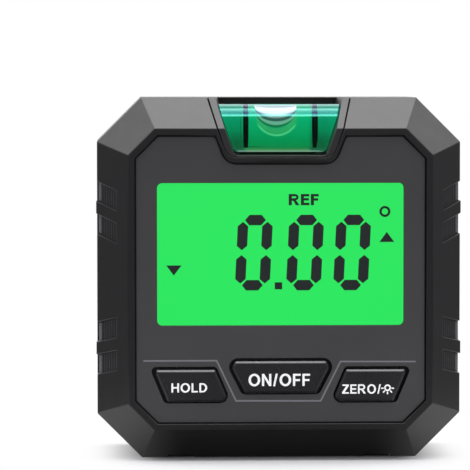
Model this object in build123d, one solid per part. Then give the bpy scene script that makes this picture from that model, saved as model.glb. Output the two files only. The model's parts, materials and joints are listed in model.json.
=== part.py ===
from build123d import *
from math import atan, degrees, hypot, radians, sqrt, tan
import os

os.makedirs("parts", exist_ok=True)

# Digital spirit level, in millimetres. X runs to the right, Y back from the
# face and Z up, with the origin at the middle of the base. A depth is counted
# back from the rim of the face, and heights are counted up from the base.

# Housing
overall_width = 60.5
overall_height = 60.0
overall_depth = 30.0
corner_cut = 7.4
slope_run = 5.1
slope_depth = 7.0
back_bevel = 1.2
wall = 1.8
parting_depth = 19.0
lip_height = 1.2
lip_thickness = 0.8
seam = 0.15
fit_gap = 0.1

# Face panel and its window
rim_width = 1.1
panel_gap = 0.25
panel_step = 0.5
panel_thickness = 1.0
face_wall = 1.7
window_side_margin = 3.69
window_foot = 22.41
window_head_drop = 14.07
window_radius = 0.85
window_rebate = 0.4
lens_thickness = 0.8
lens_ledge = 0.6

# Display behind the window
lcd_thickness = 1.7
lcd_overlap = 0.55
lcd_contact_ledge = 2.5
lcd_frame_wall = 0.7
guide_thickness = 3.0
guide_side_margin = 1.5
connector_width = 1.5
connector_margin = 2.5
led_size = (1.1, 1.5, 3.0)

# Keys: corners on the face, a side cap's outer ones measured from the panel's edge
centre_cap = [(-5.9, 11.17), (5.9, 11.17), (8.65, 16.53), (-8.65, 16.53)]
side_cap_inner_foot = (8.46, 9.76)
side_cap_inner_head = (10.76, 15.13)
side_cap_foot_margin = 5.35
side_cap_head_margin = 3.1
cap_radius = 0.5
cap_soft_radius = 1.0
cap_rise = 0.42
cap_edge_bevel = 0.3
key_foot_gap = 0.15
key_head_gap = 0.5
key_wide_side_gap = 0.5
key_narrow_side_gap = 0.3
flange_overlap = 0.6
flange_thickness = 0.9
stem_radius = 1.5
key_travel = 0.3

# Key switches
switch_width = 4.5
switch_height = 2.0
plunger_radius = 1.2
plunger_rise = 0.8
plunger_socket = 1.2
plunger_gap = 0.05

# Circuit board
board_thickness = 1.2
board_side_gap = 1.2
board_foot_gap = 1.2
board_head_gap = 0.3
board_post_radius = 1.6
board_post_inset = 4.5
board_post_margin = 17.0
board_screw_radius = 0.7
board_screw_head_radius = 1.4
board_screw_head = 0.9
board_screw_length = 2.6
screw_hole_gap = 0.04
chip_size = (10.0, 1.4, 10.0)
chip_centre = (-4.0, 32.0)
sensor_size = (4.0, 1.0, 4.0)
sensor_centre = (12.0, 29.0)

# Vial: holder, block, bore and bubble
holder_foot_drop = 9.65
holder_foot_half = 8.55
holder_lean = 0.385
holder_draft = 4.0
holder_foot_radius = 2.0
holder_depth = 15.4
holder_back = 1.1
holder_gap = 0.18
pocket_wall = 1.3
rim_foot_width = 0.95
rim_side_width = 0.55
notch_head_radius = 0.7
vial_foot_drop = 8.95
vial_foot_half = 7.83
vial_lean = 0.36
vial_draft = 6.8
vial_foot_radius = 1.2
block_step = 3.8
block_back_gap = 0.9
block_head_drop = 0.9
block_gap = 0.08
bore_radius = 3.4
bore_half_length = 6.4
bore_head_wall = 0.55
ring_spacing = 11.5
ring_width = 0.6
ring_thickness = 0.15
fill_hole_radius = 1.1
bubble_half_length = 3.5
bubble_radius = 2.1
bubble_end_cut = 1.1
bubble_offset = -0.7
bubble_sink = 1.6

# Base: V-groove, cross slots, lands and magnets
groove_depth_centre = 18.0
groove_half_width = 4.0
groove_height = 3.6
groove_top_half = 0.5
groove_roof = 1.6
slot_inner = 13.9
slot_outer = 18.6
slot_height = 0.5
land_step = 0.1
magnet_radius = 2.5
magnet_height = 3.0
magnet_spacing = 18.0

# Grip pockets on both sides
grip_centre_offset = 11.7
grip_half_height = 4.35
grip_rib_half = 1.05
grip_run = 3.2
grip_wrap = 3.0
grip_pocket = 0.45
grip_rib_rise = 0.15
grip_slant_upper = 24.0
grip_slant_lower = 17.0

# Case screws
case_post_radius = 2.8
case_post_inset = 6.7
case_post_margin = 8.5
case_screw_radius = 1.1
case_screw_length = 12.5
case_head_radius = 2.0
case_head_height = 1.6
case_head_gap = 0.3
case_head_seat = 5.0

# Cells, battery bay and its cover
cell_radius = 5.25
cell_length = 44.5
cell_gap = 0.4
nub_radius = 1.9
nub_length = 1.0
spring_room = 5.3
contact_thickness = 0.3
contact_width = 8.4
leaf_width = 5.0
tail_width = 2.0
bay_gap = 0.4
bay_wall = 1.2
bay_height = 28.5
cover_thickness = 1.6
cover_ledge = 0.7
cell_cover_gap = 0.3
tab_width = 5.0
tab_offset = 14.0
tab_reach = 1.2
tab_thickness = 0.9
tab_root = 1.2
thumb_width = 10.0
thumb_height = 3.0
thumb_depth = 1.0
tongue_slit = 0.6
tongue_length = 5.0

# Sides of small round forms, at the surface and inside the case
round_sides = 24
inner_sides = 12

# Worked out from the sizes above
face_y = -overall_depth / 2
slope = slope_run / slope_depth
slope_angle = degrees(atan(slope))
panel_inset = slope_run + rim_width
panel_back = panel_step + panel_thickness
face_back = panel_back + face_wall
panel_half = overall_width / 2 - panel_inset
window_half = panel_half - window_side_margin
window_head = overall_height - window_head_drop
lcd_back = face_back + lcd_thickness
board_front = lcd_back + guide_thickness
board_back = board_front + board_thickness
board_half = overall_width / 2 - wall - board_side_gap
board_post_x = overall_width / 2 - board_post_inset
side_cap = [side_cap_inner_foot, (panel_half - side_cap_foot_margin, side_cap_inner_foot[1]),
            (panel_half - side_cap_head_margin, side_cap_inner_head[1]), side_cap_inner_head]
base_top = groove_height + groove_roof
case_post_x = overall_width / 2 - case_post_inset
holder_foot = overall_height - holder_foot_drop
vial_foot = overall_height - vial_foot_drop
block_back = holder_depth - holder_back - block_back_gap
block_head = overall_height - block_head_drop
bore_depth = (block_step + block_back) / 2
bore_height = block_head - bore_head_wall - bore_radius
cell_pitch = 2 * cell_radius + cell_gap
bay_back = overall_depth - cover_thickness
cell_depth = bay_back - cell_cover_gap - cell_radius
bay_front = cell_depth - cell_radius - cell_gap
bay_half_length = (cell_length + spring_room) / 2 + contact_thickness
bay_half_height = cell_pitch / 2 + cell_radius + bay_gap
cover_half_height = bay_half_height + cover_ledge
board_head = holder_foot - holder_gap - pocket_wall - board_head_gap
over = 2.0


def at_depth(depth):
    """Plane square to the view at a depth behind the rim, with X right and Z up."""
    return Plane(origin=(0, face_y + depth, 0), x_dir=(1, 0, 0), z_dir=(0, -1, 0))


def plate(outline, near, far):
    """Outline on the face, thickened between two depths."""
    return extrude(at_depth(far) * outline, amount=far - near)


def rectangle(left, right, foot, head):
    return Pos((left + right) / 2, (foot + head) / 2) * Rectangle(right - left, head - foot)


def block(left, right, near, far, foot, head):
    return plate(rectangle(left, right, foot, head), near, far)


def disc(x, z, radius):
    return Pos(x, z) * RegularPolygon(radius, round_sides)


def inner_disc(x, z, radius):
    return Pos(x, z) * RegularPolygon(radius, inner_sides)


def rod(left, right, y, z, radius, sides):
    """Rod that lies along X."""
    end = Plane(origin=(left, y, z), x_dir=(0, 1, 0), z_dir=(1, 0, 0))
    return extrude(end * RegularPolygon(radius, sides), amount=right - left)


def octagon(inset):
    """Front view of the housing with every side moved in by the same inset."""
    leg = corner_cut - (2 - sqrt(2)) * inset
    box = Rectangle(overall_width - 2 * inset, overall_height - 2 * inset)
    return Pos(0, overall_height / 2) * chamfer(box.vertices(), leg)


def tub(inset, near, far):
    """Belt and sloping face, all moved in by the inset, between two depths."""
    crease = slope_depth + inset * (sqrt(1 + slope**2) - 1) / slope
    belt = plate(octagon(inset), crease, far)
    face = extrude(at_depth(crease) * octagon(inset), amount=crease - near, taper=slope_angle)
    return belt + face


def hollow_outline(inset):
    """Inside of the shells: the octagon, cut off at the solid base."""
    reach = overall_width
    return octagon(inset) & rectangle(-reach, reach, base_top, overall_height)


def both_sides(solid):
    return solid + mirror(solid, about=Plane.YZ)


def moved_sides(corners, gaps):
    """Polygon with each side moved out by its own gap; corners run anticlockwise."""
    sides = []
    for (x1, z1), (x2, z2), gap in zip(corners, corners[1:] + corners[:1], gaps):
        length = hypot(x2 - x1, z2 - z1)
        nx = (z2 - z1) / length
        nz = (x1 - x2) / length
        sides.append((nx, nz, nx * x1 + nz * z1 + gap))
    moved = []
    for (a1, b1, c1), (a2, b2, c2) in zip(sides[-1:] + sides[:-1], sides):
        det = a1 * b2 - a2 * b1
        moved.append(((c1 * b2 - c2 * b1) / det, (a1 * c2 - a2 * c1) / det))
    return moved


def rounded(corners, radii):
    return make_face(FilletPolyline(*corners, radius=radii, close=True))


def slot_outline(foot, foot_half, lean, radius, grow):
    """Slot open at the top, with leaning sides and a rounded foot, moved out by grow."""
    head = overall_height + over
    low = foot - grow
    low_half = foot_half + grow * (sqrt(1 + lean**2) - lean)
    head_half = low_half + lean * (head - low)
    corners = [(-low_half, low), (low_half, low), (head_half, head), (-head_half, head)]
    round_foot = max(radius + grow, 0.1)
    return rounded(corners, [round_foot, round_foot, 0, 0])


def holder_outline(depth, grow):
    half = holder_foot_half - depth * tan(radians(holder_draft))
    return slot_outline(holder_foot, half, holder_lean, holder_foot_radius, grow)


def notch_outline(grow):
    """Panel's notch, with the rim running on between it and the holder."""
    foot = holder_foot - holder_gap - rim_foot_width
    half = holder_foot_half + holder_gap + rim_side_width - holder_lean * rim_foot_width
    radius = holder_foot_radius + rim_side_width
    return slot_outline(foot, half, holder_lean, radius, grow)


def vial_outline(depth, grow):
    half = vial_foot_half - depth * tan(radians(vial_draft))
    return slot_outline(vial_foot, half, vial_lean, vial_foot_radius, grow)


def drafted(outline, grow, near, far):
    """Solid between a slot's outlines at two depths, so that its sides are drafted."""
    sections = [at_depth(far) * outline(far, grow), at_depth(near) * outline(near, grow)]
    return loft(sections, ruled=True)


def window_outline(grow):
    """Window moved out by grow; its corners are rounded only in the panel itself."""
    half = window_half + grow
    outline = rectangle(-half, half, window_foot - grow, window_head + grow)
    return outline if grow else fillet(outline.vertices(), window_radius)


# Key outlines: the cap itself, the well it moves in and the flange behind

def centre_corners(foot_gap, head_gap, side_gap):
    return moved_sides(centre_cap, [foot_gap, side_gap, head_gap, side_gap])


def side_corners(foot_gap, head_gap, wide_gap, narrow_gap):
    return moved_sides(side_cap, [foot_gap, wide_gap, head_gap, narrow_gap])


def centre_well_corners(grow=0.0):
    return centre_corners(key_foot_gap + grow, key_head_gap + grow, key_wide_side_gap + grow)


def side_well_corners(grow=0.0):
    wide = key_wide_side_gap + grow
    narrow = key_narrow_side_gap + grow
    return side_corners(key_foot_gap + grow, key_head_gap + grow, wide, narrow)


def centre_shape(corners, grow=0.0):
    foot = cap_radius + grow
    head = cap_soft_radius + grow
    return rounded(corners, [foot, foot, head, head])


def side_shape(corners, grow=0.0):
    firm = cap_radius + grow
    return rounded(corners, [cap_soft_radius + grow, firm, firm, firm])


def flat_shape(corners):
    """The same outline with plain corners, for what lies behind the panel."""
    return make_face(Polyline(*corners, close=True))


def key_centre(corners):
    """Middle of a cap, where its stem and switch stand."""
    x = sum(corner[0] for corner in corners) / len(corners)
    z = sum(corner[1] for corner in corners) / len(corners)
    return x, z


# Base features, cut out of both shells

def groove():
    """V-groove along the base, with a flat relief at its top."""
    y = face_y + groove_depth_centre
    low = groove_half_width + over * (groove_half_width - groove_top_half) / groove_height
    corners = [(y - low, -over), (y + low, -over), (y + groove_top_half, groove_height),
               (y - groove_top_half, groove_height)]
    profile = Plane.YZ * make_face(Polyline(*corners, close=True))
    return extrude(profile, amount=overall_width, both=True)


def base_cuts():
    """Cross slots between the feet, the stepped middle and the magnet pockets."""
    slot = block(slot_inner, slot_outer, -over, overall_depth + over, -over, slot_height)
    middle = block(-slot_inner, slot_inner, -over, overall_depth + over, -over, land_step)
    return both_sides(slot) + middle + magnets(fit_gap, over) + groove()


def magnets(grow=0.0, below=0.0):
    """Four round magnets on the lands before and behind the groove."""
    front_land = (slope_depth + groove_depth_centre - groove_half_width) / 2
    back_land = (overall_depth - back_bevel + groove_depth_centre + groove_half_width) / 2
    height = magnet_height + below
    group = Part()
    for depth in (front_land, back_land):
        for x in (-magnet_spacing / 2, magnet_spacing / 2):
            place = Pos(x, face_y + depth, land_step - below)
            group += place * extrude(RegularPolygon(magnet_radius + grow, round_sides), amount=height)
    return group


# Grip pockets

def grip_band(low, high, slant):
    """Slanted band across the belt's edge, between two heights at the belt."""
    outer = overall_width / 2 + over
    inner = overall_width / 2 - grip_run
    lift = tan(radians(slant))
    corners = [(inner, low + lift * grip_run), (outer, low - lift * over),
               (outer, high - lift * over), (inner, high + lift * grip_run)]
    outline = make_face(Polyline(*corners, close=True))
    return plate(outline, -over, slope_depth + grip_wrap)


def grips(low, high):
    """A band at both grips of both sides, slanting in towards mid height."""
    centre = overall_height / 2
    lower = Pos(0, 0, centre - grip_centre_offset) * grip_band(low, high, grip_slant_lower)
    upper = Pos(0, 0, centre - grip_centre_offset) * grip_band(low, high, grip_slant_upper)
    return both_sides(lower + mirror(upper, about=Plane.XY.offset(centre)))


def grip_pockets():
    band = grips(-grip_half_height, -grip_rib_half) + grips(grip_rib_half, grip_half_height)
    skin = tub(-over, -over, parting_depth) - tub(grip_pocket, grip_pocket, parting_depth)
    return band & skin


def grip_ribs():
    """Ribs between the pockets, level with the slope and proud of the belt."""
    band = grips(-grip_rib_half, grip_rib_half)
    crease = slope_depth + grip_rib_rise / slope
    skin = plate(octagon(-grip_rib_rise), crease, parting_depth)
    skin += extrude(at_depth(crease) * octagon(-grip_rib_rise), amount=crease, taper=slope_angle)
    return band & (skin - tub(wall / 2, wall / 2, parting_depth))


def case_posts(radius, near, far, outline=inner_disc):
    """Posts or holes at the four case screws."""
    group = Part()
    for z in (case_post_margin, overall_height - case_post_margin):
        group += both_sides(plate(outline(case_post_x, z, radius), near, far))
    return group


def board_posts(radius, near, far):
    group = Part()
    for z in (board_post_margin, overall_height - board_post_margin):
        group += both_sides(plate(inner_disc(board_post_x, z, radius), near, far))
    return group


def front_housing():
    outside = tub(0, 0, parting_depth)
    inside = tub(wall, face_back, parting_depth + over)
    reach = overall_width
    inside &= block(-reach, reach, 0, parting_depth + over, base_top, overall_height)
    body = outside - inside
    pocket_far = holder_depth + pocket_wall
    additions = drafted(holder_outline, holder_gap + pocket_wall, panel_back, pocket_far)
    additions += case_posts(case_post_radius, face_back - wall / 2, parting_depth)
    additions += board_posts(board_post_radius, face_back - wall / 2, board_front)
    body += additions & outside
    rebate = plate(octagon(wall - lip_thickness - fit_gap), parting_depth - lip_height - fit_gap,
                   parting_depth + over)
    body -= rebate - case_posts(case_post_radius, 0, parting_depth)
    body -= plate(octagon(panel_inset) - notch_outline(0), -over, panel_back)
    body -= plate(window_outline(window_rebate + lens_ledge + fit_gap), 0, panel_back + lens_thickness)
    body -= plate(window_outline(window_rebate), 0, face_back + over)
    body -= plate(flat_shape(centre_well_corners()), 0, face_back + over)
    body -= both_sides(plate(flat_shape(side_well_corners()), 0, face_back + over))
    body -= drafted(holder_outline, holder_gap, -over, holder_depth)
    screw_tip = parting_depth + wall - case_screw_length
    body -= case_posts(case_screw_radius + screw_hole_gap, screw_tip, parting_depth + over)
    body -= board_posts(board_screw_radius + screw_hole_gap,
                        board_back - board_screw_length - board_thickness, board_front + over)
    body -= base_cuts()
    body -= grip_pockets()
    return body + grip_ribs()


def bay_shape(grow, near, far):
    half = bay_half_length + grow
    low = bay_height - bay_half_height - grow
    high = bay_height + bay_half_height + grow
    return block(-half, half, near, far, low, high)


def tab_slots(x_gap, near, far, foot, head):
    left = tab_offset - tab_width / 2 - x_gap
    right = tab_offset + tab_width / 2 + x_gap
    return both_sides(block(left, right, near, far, foot, head))


def thumb_recess():
    """Scoop above the cover, deepest at the cover's edge."""
    edge = bay_height + cover_half_height
    back = face_y + overall_depth
    corners = [(back + over, edge - seam), (back - thumb_depth, edge - seam),
               (back - thumb_depth, edge + thumb_height / 3), (back, edge + thumb_height),
               (back + over, edge + thumb_height)]
    profile = Plane.YZ * make_face(Polyline(*corners, close=True))
    return extrude(profile, amount=thumb_width / 2, both=True)


def rear_housing():
    body = plate(octagon(0), parting_depth, overall_depth)
    body = chamfer(body.faces().sort_by(Axis.Y)[-1].edges(), back_bevel)
    body += plate(octagon(wall - lip_thickness), parting_depth - lip_height, parting_depth)
    inside = plate(hollow_outline(wall), parting_depth - lip_height, overall_depth - wall)
    body -= inside
    bay_outside = bay_shape(bay_wall, bay_front - bay_wall, overall_depth - wall)
    posts = case_posts(case_post_radius, parting_depth, overall_depth - wall)
    body += bay_outside + posts
    body -= bay_shape(0, bay_front, overall_depth + over)
    body -= bay_shape(cover_ledge, bay_back, overall_depth + over)
    low = bay_height - bay_half_height
    body -= tab_slots(seam * 2, bay_back - tab_thickness * 2.4, bay_back, low - bay_wall, low + over)
    body -= thumb_recess()
    seat = overall_depth - case_head_seat
    body -= case_posts(case_screw_radius + fit_gap, parting_depth - over, overall_depth)
    body -= case_posts(case_head_radius + case_head_gap, seat, overall_depth + over, disc)
    body -= contact_tails(screw_hole_gap)
    body -= base_cuts()
    return body


def battery_cover():
    """Lid with two toes that hook below the bay and a sprung tongue at its top."""
    grow = cover_ledge - seam
    body = bay_shape(grow, bay_back, overall_depth)
    low = bay_height - bay_half_height - grow
    high = bay_height + bay_half_height + grow
    toe_near = bay_back - tab_thickness - seam * 2
    root = tab_slots(0, toe_near, bay_back, low + seam, low + tab_root)
    toe = tab_slots(0, toe_near, toe_near + tab_thickness, low - tab_reach, low + tab_root)
    body += root + toe
    half = thumb_width / 2 - tongue_slit
    slit = block(half, half + tongue_slit, bay_back - over, overall_depth + over,
                 high - tongue_length, high + over)
    return body - both_sides(slit)


def front_panel():
    outline = octagon(panel_inset + panel_gap) - notch_outline(panel_gap)
    notch_corners = outline.vertices().group_by(Axis.Y)[-1].filter_by(
        lambda vertex: abs(vertex.X) < overall_width / 4)
    outline = fillet(notch_corners, notch_head_radius)
    outline -= window_outline(0)
    side_well = side_shape(side_well_corners(), key_narrow_side_gap)
    outline -= centre_shape(centre_well_corners(), key_wide_side_gap)
    outline -= side_well
    outline -= mirror(side_well, about=Plane.YZ)
    return plate(outline, panel_step, panel_back)


def window_lens():
    outline = window_outline(window_rebate + lens_ledge)
    return plate(outline, panel_back, panel_back + lens_thickness)


def lcd_foot():
    return window_foot - window_rebate - lcd_contact_ledge


def lcd_head():
    return window_head + window_rebate + lcd_overlap


def lcd_half():
    return window_half + window_rebate + lcd_overlap + wall / 2


def lcd_glass():
    """Two bonded glass sheets; the back one leaves a contact ledge at the foot."""
    half = lcd_half()
    middle = face_back + lcd_thickness / 2
    front = block(-half, half, face_back, middle, lcd_foot(), lcd_head())
    foot = lcd_foot() + lcd_contact_ledge
    return front + block(-half, half, middle, lcd_back, foot, lcd_head())


def light_guide():
    half = window_half - guide_side_margin / 2
    foot = lcd_foot() + lcd_contact_ledge
    return block(-half, half, lcd_back, board_front, foot, lcd_head() - seam)


def lcd_frame():
    half = lcd_half() + fit_gap
    low = lcd_foot() - fit_gap
    high = lcd_head() + fit_gap
    edge = lcd_frame_wall
    outside = block(-half - edge, half + edge, face_back, board_front, low - edge, high + edge)
    return outside - block(-half, half, face_back, board_front, low, high)


def lcd_connector():
    """Rubber contact strip from the ledge of the front glass to the board."""
    half = lcd_half() - connector_margin
    foot = lcd_foot() + (lcd_contact_ledge - connector_width) / 2
    return block(-half, half, face_back + lcd_thickness / 2, board_front, foot,
                 foot + connector_width)


def backlight_leds():
    width, depth, height = led_size
    left = window_half - guide_side_margin / 2 + seam
    middle = (lcd_foot() + lcd_head()) / 2
    return both_sides(block(left, left + width, board_front - depth, board_front,
                            middle - height / 2, middle + height / 2))


def main_board():
    foot = base_top + board_foot_gap
    outline = octagon(wall + board_side_gap) & rectangle(-board_half, board_half, foot, board_head)
    notch_side = case_post_x - case_post_radius - board_head_gap
    notch_head = case_post_margin + case_post_radius + board_head_gap
    for low, high in ((foot - over, notch_head), (overall_height - notch_head, overall_height)):
        notch = rectangle(notch_side, board_half + over, low, high)
        outline -= notch
        outline -= mirror(notch, about=Plane.YZ)
    body = plate(outline, board_front, board_back)
    return body - board_posts(board_screw_radius + fit_gap, board_front - over, board_back + over)


def board_screws():
    shank = board_posts(board_screw_radius, board_back - board_screw_length, board_back)
    head = board_posts(board_screw_head_radius, board_back, board_back + board_screw_head)
    return shank + head


def on_board(size, centre):
    """Small part soldered to the back of the board."""
    width, depth, height = size
    x, z = centre
    return block(x - width / 2, x + width / 2, board_back, board_back + depth,
                 z - height / 2, z + height / 2)


def key_switch(centre):
    x, z = centre
    half = switch_width / 2
    near = board_front - switch_height
    body = block(x - half, x + half, near, board_front, z - half, z + half)
    body = chamfer(body.edges().filter_by(Axis.Y), switch_width / 10)
    socket = inner_disc(x, z, plunger_radius + plunger_gap)
    return body - plate(socket, near - over, near + plunger_socket)


def key_plunger(centre):
    x, z = centre
    near = board_front - switch_height - plunger_rise
    far = board_front - switch_height + plunger_socket - key_travel - fit_gap
    return plate(inner_disc(x, z, plunger_radius), near, far)


def key_cap(cap, flange, centre):
    """Cap with a bevelled face edge, a flange behind the wall and a stem."""
    near = panel_step - cap_rise
    flange_near = face_back + seam / 3
    body = plate(cap, near, flange_near)
    body = chamfer(body.faces().sort_by(Axis.Y)[0].edges(), cap_edge_bevel)
    body += plate(flange, flange_near, flange_near + flange_thickness)
    x, z = centre
    stem_far = board_front - switch_height - plunger_rise
    return body + plate(inner_disc(x, z, stem_radius), flange_near, stem_far)


def zero_key():
    cap = side_shape(side_cap)
    flange = flat_shape(side_well_corners(flange_overlap))
    return key_cap(cap, flange, key_centre(side_cap))


def on_off_key():
    cap = centre_shape(centre_cap)
    flange = flat_shape(centre_well_corners(flange_overlap))
    return key_cap(cap, flange, key_centre(centre_cap))


# The vial, from its holder inwards

def vial_holder():
    outside = drafted(holder_outline, 0, -over, holder_depth)
    inside = drafted(vial_outline, 0, -over * 2, holder_depth - holder_back)
    return (outside - inside) & tub(0, 0, parting_depth)


def block_form():
    """Block's outside: its slanted sides, with the top front edge cut to the slope."""
    reach = overall_width
    form = drafted(vial_outline, -block_gap, block_step, block_back)
    form &= block(-reach, reach, 0, parting_depth, 0, block_head)
    return form & tub(0, 0, parting_depth)


def bore_rod(left, right, radius, sides):
    return rod(left, right, face_y + bore_depth, bore_height, radius, sides)


def barrel():
    axis = Plane(origin=(-bore_half_length, face_y + bore_depth, bore_height), z_dir=(1, 0, 0))
    return extrude(axis * Circle(bore_radius), amount=2 * bore_half_length)


def ring_bands():
    half = ring_width / 2
    x = ring_spacing / 2
    return both_sides(bore_rod(x - half, x + half, bore_radius + ring_thickness, round_sides))


def vial_rings():
    return ring_bands() - barrel()


def fill_hole():
    """Filling hole from the bore's right end to the block's side."""
    return bore_rod(bore_half_length, overall_width / 2, fill_hole_radius, inner_sides)


def vial_block():
    return block_form() - barrel() - ring_bands() - fill_hole()


def vial_plug():
    return fill_hole() & block_form()


def bubble():
    """Long bubble with narrowed ends, pressed up against the top of the bore."""
    left = bubble_offset - bubble_half_length
    right = bubble_offset + bubble_half_length
    body = bore_rod(left, right, bubble_radius, round_sides)
    ends = body.faces().sort_by(Axis.X)
    body = chamfer(ends[0].edges() + ends[-1].edges(), bubble_end_cut)
    return Pos(0, 0, bore_radius - bubble_sink) * body


def vial_liquid():
    return barrel() - bubble()


# Cells and contacts

def cell(plus_side):
    """AAA cell lying along X, its plus end against the contact on that side."""
    tip = bay_half_length - contact_thickness
    shoulder = tip - nub_length
    y = face_y + cell_depth
    z = bay_height + plus_side * cell_pitch / 2
    body = rod(tip - cell_length, shoulder, y, z, cell_radius, round_sides)
    body += rod(shoulder, tip, y, z, nub_radius, inner_sides)
    return body if plus_side > 0 else mirror(body, about=Plane.YZ)


def contact_plate(height):
    """Flat plate against the right end of the bay, centred on a height."""
    right = bay_half_length
    half = contact_width / 2
    near = face_y + cell_depth - half
    left = right - contact_thickness
    return block(left, right, near - face_y, near - face_y + contact_width, height - half, height + half)


def leaf(height):
    """Bowed leaf spring from the right end plate to the cell's flat end."""
    right = bay_half_length - contact_thickness
    tip = bay_half_length - contact_thickness - spring_room
    t = contact_thickness
    y = face_y + cell_depth
    span = contact_width / 2
    bow = [(right, y - span), (tip, y), (right - t, y + span), (right - t, y + span - t),
           (tip + t * 1.5, y), (right, y - span + t * 2)]
    outline = make_face(Polyline(*bow, close=True))
    return Pos(0, 0, height - leaf_width / 2) * extrude(outline, amount=leaf_width)


def tail(height, grow):
    """Solder tail from a right end plate through the bay's wall to the board."""
    right = bay_half_length
    half = tail_width / 2 + grow
    far = cell_depth - contact_width / 2 + contact_thickness
    return block(right - contact_thickness - grow, right + grow, board_back, far,
                 height - half, height + half)


def contact_tails(grow):
    upper = bay_height + cell_pitch / 2
    lower = bay_height - cell_pitch / 2
    return tail(upper, grow) + tail(lower, grow)


def plus_contact():
    height = bay_height + cell_pitch / 2
    return contact_plate(height) + tail(height, 0)


def minus_contact():
    height = bay_height - cell_pitch / 2
    return contact_plate(height) + tail(height, 0) + leaf(height)


def bridge_contact():
    """One plate across both cells at the left end, sprung at the upper cell."""
    upper = bay_height + cell_pitch / 2
    lower = bay_height - cell_pitch / 2
    joined = contact_plate(upper) + contact_plate(lower)
    strip = joined.bounding_box()
    middle = block(strip.min.X, strip.max.X, cell_depth - leaf_width / 2,
                   cell_depth + leaf_width / 2, lower, upper)
    return mirror(joined + middle + leaf(upper), about=Plane.YZ)


def case_screws():
    """Pan-head screws sunk in the back, through the rear posts into the front ones."""
    seat = overall_depth - case_head_seat
    tip = seat - case_screw_length
    shank = case_posts(case_screw_radius, tip, seat)
    head = case_posts(case_head_radius, seat, seat + case_head_height, disc)
    return shank + head


left_key = [(-x, z) for x, z in side_cap]
nodes = {
    "front_housing": front_housing(),
    "rear_housing": rear_housing(),
    "battery_cover": battery_cover(),
    "front_panel": front_panel(),
    "window_lens": window_lens(),
    "lcd_glass": lcd_glass(),
    "light_guide": light_guide(),
    "lcd_frame": lcd_frame(),
    "lcd_connector": lcd_connector(),
    "backlight_leds": backlight_leds(),
    "main_board": main_board(),
    "board_screws": board_screws(),
    "controller_chip": on_board(chip_size, chip_centre),
    "tilt_sensor": on_board(sensor_size, sensor_centre),
    "hold_switch": key_switch(key_centre(left_key)),
    "on_off_switch": key_switch(key_centre(centre_cap)),
    "zero_switch": key_switch(key_centre(side_cap)),
    "hold_plunger": key_plunger(key_centre(left_key)),
    "on_off_plunger": key_plunger(key_centre(centre_cap)),
    "zero_plunger": key_plunger(key_centre(side_cap)),
    "hold_button": mirror(zero_key(), about=Plane.YZ),
    "on_off_button": on_off_key(),
    "zero_button": zero_key(),
    "vial_holder": vial_holder(),
    "vial_block": vial_block(),
    "vial_liquid": vial_liquid(),
    "vial_rings": vial_rings(),
    "vial_plug": vial_plug(),
    "base_magnets": magnets(),
    "battery_upper": cell(1),
    "battery_lower": cell(-1),
    "bridge_contact": bridge_contact(),
    "plus_contact": plus_contact(),
    "minus_contact": minus_contact(),
    "case_screws": case_screws(),
}

for name, solid in nodes.items():
    export_step(solid, f"parts/{name}.step")
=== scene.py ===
import json
from math import asin, cos, pi, radians, sin, sqrt, tan

import bmesh
import bpy
from bpy.props import FloatProperty, FloatVectorProperty, IntProperty, PointerProperty
from mathutils import Matrix, Vector

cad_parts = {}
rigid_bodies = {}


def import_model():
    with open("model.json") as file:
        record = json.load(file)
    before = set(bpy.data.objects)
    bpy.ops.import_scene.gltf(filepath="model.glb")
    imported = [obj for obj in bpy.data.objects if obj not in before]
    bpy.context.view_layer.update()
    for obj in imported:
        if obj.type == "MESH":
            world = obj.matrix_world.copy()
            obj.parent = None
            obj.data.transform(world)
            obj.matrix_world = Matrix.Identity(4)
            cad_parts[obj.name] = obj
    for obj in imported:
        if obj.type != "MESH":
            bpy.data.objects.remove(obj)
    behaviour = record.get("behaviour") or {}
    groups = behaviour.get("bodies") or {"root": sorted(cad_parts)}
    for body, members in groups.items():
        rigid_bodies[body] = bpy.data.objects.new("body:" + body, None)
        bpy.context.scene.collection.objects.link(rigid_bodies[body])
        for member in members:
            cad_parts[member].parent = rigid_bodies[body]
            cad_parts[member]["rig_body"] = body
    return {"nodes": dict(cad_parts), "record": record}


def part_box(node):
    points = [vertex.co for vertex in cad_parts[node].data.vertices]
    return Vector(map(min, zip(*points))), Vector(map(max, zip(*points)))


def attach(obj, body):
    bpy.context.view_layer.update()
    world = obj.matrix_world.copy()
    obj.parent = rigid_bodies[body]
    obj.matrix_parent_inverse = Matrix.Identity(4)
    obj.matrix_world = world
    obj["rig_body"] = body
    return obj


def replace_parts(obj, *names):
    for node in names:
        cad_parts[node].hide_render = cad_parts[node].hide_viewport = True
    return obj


bl_info = {
    "name": "Digital Spirit Level",
    "version": (1, 0, 0),
    "blender": (4, 5, 0),
    "location": "View3D > Sidebar > Level",
    "description": "Finishes, prints and studio for a small digital spirit level",
    "category": "Object",
}

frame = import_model()
nodes = frame["nodes"]

MM = 0.001


def corner(node, side, axis):
    """One coordinate of a node's box: side 0 is low and 1 high, axis 0 to 2."""
    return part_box(node)[side][axis]


FACE_Y = corner("front_housing", 0, 1)
BACK_Y = corner("rear_housing", 1, 1)
PANEL_Y = corner("front_panel", 0, 1)
CAP_Y = corner("on_off_button", 0, 1)
DISPLAY_Y = corner("lcd_glass", 0, 1)
HEIGHT = corner("front_housing", 1, 2)
HALF_WIDTH = corner("rear_housing", 1, 0)
BLOCK_Y = corner("vial_block", 0, 1)
BLOCK_FOOT = corner("vial_block", 0, 2)
BORE_Y = (corner("vial_liquid", 0, 1) + corner("vial_liquid", 1, 1)) / 2
BORE_Z = (corner("vial_liquid", 0, 2) + corner("vial_liquid", 1, 2)) / 2
BORE_RADIUS = (corner("vial_liquid", 1, 2) - corner("vial_liquid", 0, 2)) / 2
BORE_HALF_LENGTH = corner("vial_liquid", 1, 0)


# Colours and shader maths

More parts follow.
